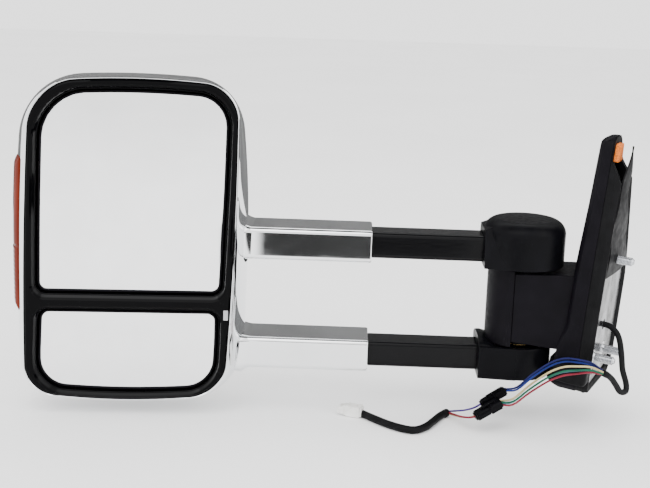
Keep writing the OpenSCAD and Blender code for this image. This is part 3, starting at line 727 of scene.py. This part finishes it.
def make_shell():
    steps = 44
    outer_u = [math.sin(math.pi / 2 * (i / steps) ** 1.25) for i in range(steps + 1)]
    lip_rings = [shell_ring(0, LIP, 1.0), shell_ring(0, LIP - 0.1, -0.5), shell_ring(0, 1.0, -0.9),
                 shell_ring(0, 0.5, -0.9), shell_ring(0, 0.1, -0.5)]
    outer = [shell_ring(u, 0, u * HEAD_DEPTH) for u in outer_u]
    inner_u = [u for u in outer_u if 0.03 < u < 0.95][::3]
    inner = [shell_ring(u, SHELL_WALL * (1 + 3 * u ** 8), u * (HEAD_DEPTH - SHELL_WALL)) for u in inner_u]
    bright_verts, bright_faces = loft(inner[::-1] + lip_rings + outer)
    count = len(outer[0])
    dark = len(inner) * count
    order = bright_faces[dark:-2] + bright_faces[-1:] + bright_faces[:dark] + bright_faces[-2:-1]
    shell = piece("shell_cover", bright_verts, order, "head", "chrome", "chrome", ["head_shell"], HEAD,
                  inner=(len(order) - dark - 1, "shell_inside"))
    for opening in (sleeve_cutter(ARM_Z, 3.5, 6), sleeve_cutter(-ARM_Z, 2.0, 0), lens_cutter(0.5)):
        opening.data.materials.clear()
        opening.data.materials.append(MATERIALS["chrome"])
        opening.data.materials.append(MATERIALS["shell_inside"])
        for face in opening.data.polygons:
            face.material_index = 1
        combine(shell, opening, "DIFFERENCE", 30)


LENS_LO, LENS_HI = (-130, 5, -12), (-78, 46, 127)


def lens_outline(grow=0.0, inset=0.0):
    """Lens outline on the outboard wall, as (y, z): pointed at the front, rounded behind."""
    y0, y1 = LENS_LO[1] - grow + inset, LENS_HI[1] + grow - inset
    z0, z1 = LENS_LO[2] - grow + inset, LENS_HI[2] + grow - inset
    return [((y0 + y1) / 2 + y, (z0 + z1) / 2 + z)
            for y, z in soft_box((y1 - y0) / 2, (z1 - z0) / 2, [14, 5, 5, 14], 10, 6)]


def lens_cutter(grow):
    return cutter(prism(lens_outline(grow), LENS_LO[0] - 10, LENS_HI[0], "x"), HEAD)


def wall_x(y, z, proud):
    """Outboard wall of the shell at a depth and height, standing proud by some millimetres."""
    u = max(0.0, y / HEAD_DEPTH)
    fall = math.sqrt(max(0.0, 1 - u ** 3.5))
    swell = math.sin(math.pi * u ** 0.75)
    w, h = RIM_HW * fall + 12 * swell, RIM_HH * fall + 2 * swell
    rise = z - RIM_MID
    return upright(-w * (1 - 0.03 * (rise / h) ** 2) + 0.035 * rise, swell, rise) - proud


def make_lens():
    """Proud lens skin with a split line and prisms below it."""
    columns, rows = 40, 150
    y0, y1, z0, z1 = LENS_LO[1] + 0.2, LENS_HI[1] - 0.2, LENS_LO[2] + 0.2, LENS_HI[2] - 0.2
    split = z0 + 0.42 * (z1 - z0)
    front = []
    for j in range(rows + 1):
        z = z0 + (z1 - z0) * j / rows
        for i in range(columns + 1):
            y = y0 + (y1 - y0) * i / columns
            edge = min(y - y0, y1 - y, z - z0, z1 - z)
            proud = 3.2 * min(1, edge / 7) ** 0.5 - 0.4
            if abs(z - split) < 1.0:
                proud -= 0.9
            if z < split - 1 and edge > 2:
                proud += 0.35 * abs(math.sin(math.pi * z / 4.2)) * abs(math.cos(math.pi * y / 5))
            front.append((wall_x(y, z, proud), y, z))
    back = [(wall_x(y, z, -2.4), y, z) for _, y, z in front]
    lens = piece("signal_lens", front + back, grid_skin(rows, columns), "head", "lens_red", "lens_red",
                 ["indicator_lens"], HEAD)
    shape = cutter(prism(lens_outline(0, 0.3), LENS_LO[0] - 10, LENS_HI[0], "x"), HEAD)
    combine(lens, shape, "INTERSECT", 30)


def pane_line(size, z, t, top, bottom):
    """Outline of a mirror pane, inset by t: top and bottom = (left radius, right radius, sag)."""
    corners = (top[1] - t, top[0] - t, bottom[0] - t, bottom[1] - t)
    points = soft_box(size[0] - t, size[1] - t, corners, 12, 10)
    line = []
    for x, h in points:
        sag = top[2] if h > 0 else -bottom[2]
        line.append((x * (1 - 0.01 * (h / size[1]) ** 2) + 0.035 * (h + z - RIM_MID) + PANE_X,
                     h + z - sag * (x / size[0]) ** 2))
    return line


DIVIDER_Z = RIM_MID - 54.5
PANE_TOP = RIM_MID + RIM_HH - FRAME_W + 1
PANE_LOW = RIM_MID - RIM_HH + 8.5
UPPER_SIZE = (RIM_HW - FRAME_W + 2, (PANE_TOP - DIVIDER_Z - 8.5) / 2)
LOWER_SIZE = (RIM_HW - FRAME_W - 0.5, (DIVIDER_Z - 9.5 - PANE_LOW) / 2)
PANE_RECESS, PANE_GAP, GLASS_T = 7, 1.8, 2


def upper_line(t):
    return pane_line(UPPER_SIZE, UPPER_SWING.z, t, (38, 26, 4), (8, 8, 0))


def lower_line(t):
    return pane_line(LOWER_SIZE, LOWER_SWING.z, t, (8, 8, 0), (24, 24, 4))


def face_rings(line, steps):
    """Rings in the head's frame from (inset, depth) steps."""
    return [[(x, y, z) for x, z in line(inset)] for inset, y in steps]


def make_bezel():
    def rim(t):
        return rim_line(RIM_HW - t, RIM_HH - t)
    body = face_rings(rim, [(LIP + 0.1, 14), (LIP + 0.1, 0.4), (LIP + 0.5, -0.8), (LIP + 1.6, -1.8),
                            (LIP + 3.2, -2.2), (LIP + 5.0, -2.2)])
    bezel = piece("bezel_frame", *loft(body), "head", "gloss_black", "gloss_black", ["front_bezel"], HEAD)
    flare = [(-PANE_GAP - grow, depth) for grow, depth in (
        (0, 16), (0, 4.2), (0.4, 3.4), (1.0, 3.2), (1.3, 2.4), (2.6, -0.9), (4.4, -2.0), (6.0, -3.2))]
    for line in (upper_line, lower_line):
        combine(bezel, cutter(loft(face_rings(line, flare)), HEAD), "DIFFERENCE", 28)


def make_panes():
    for name, line in (("upper", upper_line), ("lower", lower_line)):
        glass = face_rings(line, [(1.4, PANE_RECESS + GLASS_T), (1.4, PANE_RECESS + 0.5),
                                  (1.7, PANE_RECESS + 0.15), (2.3, PANE_RECESS)])
        piece(name + "_pane", *loft(glass), name + "_mirror", "mirror_glass", "mirror_glass",
              [name + "_glass"], HEAD)
        rim = face_rings(line, [(1.4, PANE_RECESS + 0.2), (1.2, PANE_RECESS - 0.5), (0.7, PANE_RECESS - 0.7),
                                (0.1, PANE_RECESS - 0.3), (0, PANE_RECESS + 1), (0, PANE_RECESS + 4),
                                (1.4, PANE_RECESS + 4)])
        piece(name + "_pane_rim", *loft(rim + rim[:1], caps=False), name + "_mirror", "black_plastic",
              "black_plastic", place=HEAD)


def make_clip():
    low, high = node_box("bezel_clip")
    centre = (low + high) / 2
    parts = [box_mesh((centre.x - 2, low.y - 1.6, low.z + 0.5), (centre.x + 2, high.y, high.z - 0.5)),
             box_mesh((centre.x - 1.2, low.y - 2.0, low.z + 2), (centre.x + 1.2, low.y - 1.4, high.z - 3))]
    tab = piece("bezel_clip_tab", *joined(parts), "head", "light_plastic", "light_plastic", ["bezel_clip"])
    bevelled(tab, 0.4, 2)


# ---------- sleeves and tubes ----------
def flare_rings(x0, x1, w, h, r, z, rise, lean):
    """Root of a sleeve: grows towards the head and leans with the shell's wall."""
    rings = []
    for k in range(9):
        t = k / 8
        grow = rise * (1 - math.cos(math.pi / 2 * t))
        ring = []
        for a, b in soft_box(w / 2 + grow, h / 2 + grow, [r + grow] * 4):
            x = x1 + (x0 - x1) * t + lean * (b / h) * t
            ring.append((x, a, z + b))
        rings.append(ring)
    return rings


def make_sleeves():
    w, h = SLEEVE_HI.y - SLEEVE_LO.y, SLEEVE_HI.z - SLEEVE_LO.z
    for side, name in ((1, "upper"), (-1, "lower")):
        z = side * ARM_Z
        hollow_bar(name + "_chrome_sleeve", SLEEVE_LO.x, SLEEVE_HI.x, w, h, 4.5, z, 2.5, "head", "chrome",
                   "chrome", [name + "_sleeve"], 1.8)
        root = SLEEVE_LO.x + 13
        rings = flare_rings(root - 3, root + 11, w - 0.2, h - 0.2, 5, z, 3.2 if side > 0 else 5, 7 * side)
        tail = [[(x - 6, y * 0.98, z + (b - z) * 0.96) for x, y, b in rings[-1]]]
        sleeve_root = piece(name + "_sleeve_root", *loft(rings + tail), "head", "chrome", "chrome")
        cut(sleeve_root, loft(bar(root - 60, root + 60, w - 1.2, h - 1.2, 4, z)))


def make_tubes():
    w, h = TUBE_HI.y - TUBE_LO.y, TUBE_HI.z - TUBE_LO.z
    for side, name in ((1, "upper"), (-1, "lower")):
        hollow_bar(name + "_arm_tube", TUBE_LO.x, TUBE_HI.x, w, h, 4, side * ARM_Z, 2, "arms", "black_metal",
                   "black_metal", [name + "_tube"])


# ---------- knuckles, post and arm cover ----------
MOUTH = (31.8, 24.8, 4.4)   # width, height and corner radius of the hole that a tube goes into


def turned_form(profile):
    """Turned part round the fold axis."""
    return disc_stack(profile, (FOLD.x, FOLD.y, 0), steps=128)


def settle(item, body, replaces):
    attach(item, body)
    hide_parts(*replaces)
    return item


def make_upper_cap():
    r, low, top, round_r = 37.5, CAP_LO.z, CAP_HI.z, 13
    dome = [(r - 1.2, low), (r - 0.3, low + 0.4), (r, low + 1.4), (r, top - round_r)]
    dome += [(r - round_r + round_r * math.cos(a), top - round_r + round_r * math.sin(a))
             for a in (math.radians(d) for d in range(10, 91, 10))]
    dome += [(10, top + 0.4), (0.5, top + 0.5)]
    cap = piece("upper_cap_cover", *turned_form(dome), None, None, "cap_plastic")
    face_x = CAP_LO.x
    hinge = FOLD.x
    spots = []
    for s in (-1, 1):
        spots += [(face_x, s * 30, low + 0.3), (hinge - 4, s * 37.2, low + 0.3), (face_x, s * 19, 70),
                  (face_x + 8, s * 17, 73.5), (hinge - 27, s * 6, 76), (hinge, s * 30, low + 0.3),
                  (hinge, s * 8, top - 3)]
    combine(cap, cutter(hull(spots)), "UNION")
    bevelled(cap, 0.9, 3, 18, 50)
    cut(cap, loft(bar(face_x - 5, face_x + 3, *MOUTH, ARM_Z)))
    cut(cap, turned_form([(26, low - 4), (26, top - 8)]))
    settle(cap, "arms", ["upper_knuckle_cap"])


def make_lower_cap():
    low, top = LOW_CAP_LO.z, -37
    face_x = LOW_CAP_LO.x
    round_profile = [(30, low), (31, low + 1), (31, top - 1.2), (30.6, top - 0.3), (29.6, top)]
    cap = piece("lower_cap_cover", *turned_form(round_profile), None, None, "cap_plastic")
    spots = []
    for s in (-1, 1):
        spots += [(face_x, s * 27, low), (face_x, s * 28, low + 1), (face_x, s * 28, top - 1),
                  (face_x, s * 27, top), (FOLD.x - 4, s * 30.8, low), (FOLD.x - 4, s * 30.8, top)]
    combine(cap, cutter(hull(spots)), "UNION")
    combine(cap, cutter(mouth_lip(face_x, top)), "UNION")
    bevelled(cap, 0.8, 3, 22, 50)
    cut(cap, loft(bar(face_x - 8, face_x + 3, *MOUTH, -ARM_Z)))
    cut(cap, turned_form([(26, low - 4), (26, top - 4)]))
    cut(cap, turned_form([(18.2, low - 8), (18.2, top + 6)]))
    settle(cap, "arms", ["lower_knuckle_cap"])


def mouth_lip(face_x, top):
    """Raised lip round the lower tube's mouth, highest near its outboard end."""
    half = 25
    rings = []
    for along, lift in ((0.1, 5.4), (4, 6), (9, 4.2), (14, 1.2), (17, -1.5)):
        line = [(-half, top - 4), (half, top - 4)]
        for i in range(25):
            a = math.pi * i / 24
            rise = (lift + 2) * math.sin(a) ** 0.6 if 0 < a < math.pi else 0
            line.append((half * math.cos(a), top - 2 + rise))
        rings.append([(face_x + along, y, z) for y, z in line])
    return loft(rings)


def make_post():
    r = 31
    seam = ARM_COVER_LO.x
    sides = [(r - 0.8, POST_LO.z), (r, POST_LO.z + 0.8), (r, POST_HI.z - 0.8), (r - 0.8, POST_HI.z)]
    post = piece("post_shroud", *turned_form(sides), None, None, "black_plastic")
    cut(post, box_mesh((seam - 0.3, -50, -60), (seam + 90, 50, 60)))
    cut(post, turned_form([(28.5, -60), (28.5, 60)]))
    settle(post, "base", ["post_cover"])


def make_arm_cover():
    x0, w, top = ARM_COVER_LO.x, 28.5, ARM_COVER_HI.z
    side = [(x0, top), (-8, top), (-8, -41), (-44, -38), (-50, -36.4), (x0, -31)]
    cover = piece("arm_shroud", *prism(side, -w, w, "y"), None, None, "black_plastic", smooth=0)
    bevelled(cover, 1.0, 4, 30)
    inside = [(x0 - 5, top - 2.5), (0, top - 2.5), (0, -38), (-44, -35.5), (-50, -33.9), (x0 - 5, -28)]
    cut(cover, prism(inside, 2.5 - w, w - 2.5, "y"))
    cut(cover, turned_form([(18.3, -60), (18.3, 60)]))
    cut(cover, box_mesh((-24, -200, -200), (200, 200, 200)), BASE)
    settle(cover, "base", ["arm_cover"])


# ---------- door base ----------
SAIL_NEAR, SAIL_FAR, SAIL_LOW, SAIL_TOP = -48.0, 46.0, -75.0, 160.0


def pick(table, z):
    """Straight-line value from (height, value) pairs in rising height."""
    if z <= table[0][0]:
        return table[0][1]
    for (a, p), (b, q) in zip(table, table[1:]):
        if z <= b:
            return p + (q - p) * (z - a) / (b - a)
    return table[-1][1]


def eased(table, z, reach=4):
    return sum(pick(table, z + d * reach / 3) for d in (-3, -2, -1, 0, 1, 2, 3)) / 7


# the sail's two edges and the cover's outer face, as (height, place) pairs in the base's frame
NEAR_EDGE = [(-75, -41), (-72, -45), (-68, -47.5), (-60, -48), (0, -48), (60, -46), (150, -40.5), (157, -38),
             (160, -33)]
FAR_EDGE = [(-75, 27), (-72, 34), (-66, 40), (-56, 44.5), (-38, 46), (20, 45.5), (50, 36), (146, -5.5),
            (156, -12), (160, -20)]
COVER_OUT = [(-90, -38.2), (-64, -37.8), (-41, -36.5), (-27, -33), (-17, -28), (37, -27), (100, -24),
             (170, -22)]


def sail_rows(count):
    """Heights up the sail, each with its near and far edge."""
    rows = []
    for j in range(count + 1):
        s = j / count
        z = SAIL_LOW + (SAIL_TOP - SAIL_LOW) * (0.5 - 0.5 * math.cos(math.pi * s)) ** 0.9
        rows.append((z, eased(NEAR_EDGE, z, 2), eased(FAR_EDGE, z, 2)))
    return rows


def sail_outline(t):
    """Closed outline of the base as (along, up), inset by t."""
    rows = sail_rows(60)
    line = [(near + t, z) for z, near, _ in rows] + [(far - t, z) for z, _, far in reversed(rows)]
    low, top = SAIL_LOW + t, SAIL_TOP - t
    return [(y, min(max(z, low), top)) for y, z in line]


def make_base_cover():
    """Cover with a rounded bevel along its outer edge, hollow behind, open where the arm passes."""
    inner_x = -9.5
    verts, width = [], 0
    rows = sail_rows(90)
    for z, near, far in rows:
        edge = min(z - SAIL_LOW, SAIL_TOP - z)
        out = eased(COVER_OUT, z, 5) + 7 * (1 - min(1, edge / 7)) ** 2
        bevel = min(7.0, (far - near) * 0.35)
        section = [(near, inner_x), (near, out + bevel), (near + 0.25, out + bevel * 0.82),
                   (near + 0.9, out + bevel * 0.62)]
        section += [(near + bevel * 0.72, out + 1.1), (near + bevel, out + 0.2), (near + bevel + 2, out)]
        section += [(near + (far - near) * k / 8, out) for k in range(3, 6)]
        section += [(far - bevel - 2, out), (far - bevel * 0.6, out + 0.7), (far - 0.8, out + bevel * 0.6),
                    (far, out + bevel), (far, inner_x)]
        width = len(section)
        verts += [(x, y, z) for y, x in section]
    faces = []
    for j in range(len(rows) - 1):
        for i in range(width):
            a, b = j * width + i, j * width + (i + 1) % width
            faces.append((a, a + width, b + width, b))
    faces.append(tuple(range(width)))
    faces.append(tuple((len(rows) - 1) * width + i for i in reversed(range(width))))
    cover = piece("base_shroud", verts, faces, None, None, "black_plastic", place=BASE)
    inside = [[(x, y, z) for y, z in sail_outline(3.2)] for x in (-19, 5)]
    cut(cover, loft(inside), BASE)
    arm_half = 28.8
    cut(cover, box_mesh((-90, -arm_half, -46), (0, arm_half, 33.3)))
    settle(cover, "base", ["base_cover"])


def top_gap(z):
    """How far the rim may stand towards the door at a height: it falls away above the tongue's root."""
    return eased([(118, 3.9), (138, -8.5)], z, 4)


def make_gasket():
    """Rubber rim round the plate with a ribbed lip, and the ledge that the wires lie on."""
    lip_x = reach_from_door("door_gasket")
    steps = [(0.6, -9.3), (0.5, -4), (0.0, -3), (0.0, -1.5), (0.6, -0.6), (0.9, lip_x - 0.8), (1.6, lip_x),
             (3.4, lip_x), (4.2, lip_x - 0.8), (6.0, lip_x - 1.4), (6.9, -0.2), (6.9, -9.3)]
    rings = [[(min(x, top_gap(z)), y, z) for y, z in sail_outline(t)] for t, x in steps]
    rubber = ("base", "gasket_rubber", "gasket_rubber")
    piece("gasket_rim", *loft(rings + rings[:1], caps=False), *rubber, ["door_gasket"], BASE)
    profile = [(-29, -63), (-30, -61), (-30, -52), (-28, -48.5), (-24, -47), (-6, -46.5), (1.2, -48),
               (2.2, -50), (2.2, -61), (1, -63.6), (-12, -64)]
    cx, cz = -14, -55.5
    rings = []
    for y, shrink in [(-44, 1), (-54, 1), (-58, 0.98), (-60.2, 0.9), (-61, 0.76)]:
        rings.append([(cx + (x - cx) * shrink, y, cz + (z - cz) * shrink) for x, z in profile])
    piece("gasket_ledge", *loft(rings), *rubber, place=BASE, smooth=50)


def reach_from_door(name):
    """How far a base node reaches beyond the door face, in millimetres."""
    return max(v.co @ DOOR_OUT for v in NODES[name].data.vertices) / MM


def make_flap():
    """Free pointed tongue of the gasket: a thin sheet that curls off the door plane towards its tip."""
    near = [(34, -40), (60, -42), (90, -41.5), (110, -39), (130, -34.5), (145, -30.5), (153, -27.6)]
    far = [(34, 36), (50, 28), (62, 20), (90, 5), (105, -3), (120, -10), (136, -17.5),
           (147, -22.5), (153, -26.4)]
    rows, cols = 44, 14
    thick = 1.3
    front, back = [], []
    for j in range(rows + 1):
        z = 34 + (153 - 34) * j / rows
        n, f = eased(near, z, 3), eased(far, z, 3)
        lift = 2.6 + 3.4 * max(0, (z - 70) / 83) ** 2
        for i in range(cols + 1):
            s = i / cols
            swell = math.sin(math.pi * s) * 1.8 * min(1, (153 - z) / 40)
            x = lift + swell + 0.7 * math.sin(z / 7 + 2 * s)
            front.append((x, n + (f - n) * s, z))
            back.append((x - thick, n + (f - n) * s, z))
    piece("gasket_tongue", front + back, grid_skin(rows, cols, True), "base", "gasket_rubber",
          "gasket_rubber", ["gasket_flap"], BASE, smooth=60)


def make_foam():
    spots = [(x, y, z) for x in (-8.5, -4) for y, z in ((-38, 138), (-20, 138), (-22, 154), (-36, 154))]
    pad = piece("foam_pad", *hull(spots), "base", "orange_foam", "orange_foam", ["foam_seal"], BASE)
    bevelled(pad, 1.5, 3)


def make_studs():
    """Three threaded studs with collars and dog points."""
    high = reach_from_door("mount_studs")
    r = MOUNTS["top_stud"]["dims"]["r_mm"]
    for name in ("top_stud", "rear_stud", "front_stud"):
        centre = BASE.inverted() @ mm(MOUNTS[name]["pos_m"])
        profile = [(r + 3.5, -2.5), (r + 3.5, -0.4), (r + 3.0, 0), (r + 0.6, 0), (r + 0.1, 0.9)]
        s = 2.0
        while s < high - 3:
            profile += [(r - 0.55, s), (r, s + 0.45), (r, s + 0.7), (r - 0.55, s + 1.2)]
            s += 1.25
        profile += [(r - 0.7, high - 2.2), (r / 2 + 0.2, high - 0.3), (r / 2 - 0.4, high)]
        turned_stud = disc_stack(profile, (0, centre.y, centre.z), "x", 40)
        stud = piece(name + "_bolt", *turned_stud, "base", "zinc_steel", "zinc_steel", place=BASE, smooth=25)
        if name == "top_stud":
            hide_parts("mount_studs")


# ---------- floor and light ----------
def make_stage():
    mesh = bpy.data.meshes.new("floor")
    reach = 6
    corners = ((-reach, -reach), (reach, -reach), (reach, reach), (-reach, reach))
    mesh.from_pydata([(x, y, FLOOR_Z * MM) for x, y in corners], [], [(0, 1, 2, 3)])
    floor = bpy.data.objects.new("floor", mesh)
    bpy.context.scene.collection.objects.link(floor)
    paint = Paint("floor")
    paint.colour(paint.noise(3, 2), (0.9, 0.9, 0.9), (0.93, 0.93, 0.93))
    paint.rough(paint.noise(20), 0.8, 0.9)
    mesh.materials.append(paint.material)
    world = bpy.data.worlds.new("studio")
    world.use_nodes = True
    world.node_tree.nodes["Background"].inputs["Color"].default_value = (1, 1, 1, 1)
    world.node_tree.nodes["Background"].inputs["Strength"].default_value = 2.2
    bpy.context.scene.world = world
    # front_card's place suits the first camera: the upper sleeve's flat front reflects it there
    dark_card("front_card", (-0.352, -0.3, -0.038), (-0.1, -0.3, 0.016), 0.03, True)
    dark_card("back_card", (-1.5, 0.8, FLOOR_Z * MM + 0.002), (1.8, 0.8, 0.9), 0.12)
    dark_card("top_card", (-1.2, -0.5, 1.15), (0.4, 0.35, 1.15), 0.01)
    soft_light("key", (-0.7, -0.9, 1.5), (-0.25, 0, 0), 1.4, 16)
    soft_light("fill", (0.9, -0.8, 0.9), (-0.2, 0, 0), 1.0, 5)
    soft_light("top", (-0.3, 0.5, 1.6), (-0.25, 0, 0), 1.4, 8)


def dark_card(name, low, high, shade, soft=False):
    """Dark card seen only in reflections; it stands upright where low and high share their y."""
    if low[1] == high[1]:
        verts = [low, (high[0], low[1], low[2]), high, (low[0], low[1], high[2])]
    else:
        verts = [low, (high[0], low[1], low[2]), high, (low[0], high[1], low[2])]
    mesh = bpy.data.meshes.new(name)
    mesh.from_pydata(verts, [], [(0, 1, 2, 3)])
    card = bpy.data.objects.new(name, mesh)
    bpy.context.scene.collection.objects.link(card)
    card.visible_camera = False
    card.visible_diffuse = False
    card.visible_shadow = False
    card.visible_transmission = False
    paint = Paint(name, specular_ior_level=0.0)
    paint.colour(paint.noise(6, 2), (shade * 0.8,) * 3, (shade * 1.2,) * 3)
    if soft:
        fade_edges(paint)
    mesh.materials.append(paint.material)


def fade_edges(paint):
    """Lets a card fade out towards its left, top and bottom edges."""
    split = paint.add("ShaderNodeSeparateXYZ")
    paint.link(paint.add("ShaderNodeTexCoord").outputs["Generated"], split.inputs["Vector"])
    total = None
    for axis, start, full in (("X", 0, 0.06), ("Z", 0, 0.22), ("Z", 1, 0.84)):
        node = paint.add("ShaderNodeMapRange", interpolation_type="SMOOTHSTEP")
        node.inputs["From Min"].default_value = start
        node.inputs["From Max"].default_value = full
        paint.link(split.outputs[axis], node.inputs["Value"])
        if total is None:
            total = node.outputs["Result"]
            continue
        product = paint.add("ShaderNodeMath", operation="MULTIPLY")
        paint.link(total, product.inputs[0])
        paint.link(node.outputs["Result"], product.inputs[1])
        total = product.outputs["Value"]
    paint.link(total, paint.shader.inputs["Alpha"])


def soft_light(name, place, aim, size, power):
    data = bpy.data.lights.new(name, "AREA")
    data.size = size
    data.energy = power
    lamp = bpy.data.objects.new(name, data)
    bpy.context.scene.collection.objects.link(lamp)
    lamp.location = place
    lamp.rotation_euler = (Vector(aim) - Vector(place)).to_track_quat("-Z", "Y").to_euler()


finish_nodes()
make_shell()
make_lens()
make_bezel()
make_panes()
make_clip()
make_sleeves()
make_tubes()
make_upper_cap()
make_lower_cap()
make_post()
make_arm_cover()
make_base_cover()
make_gasket()
make_flap()
make_foam()
make_studs()
even_normals()
make_stage()
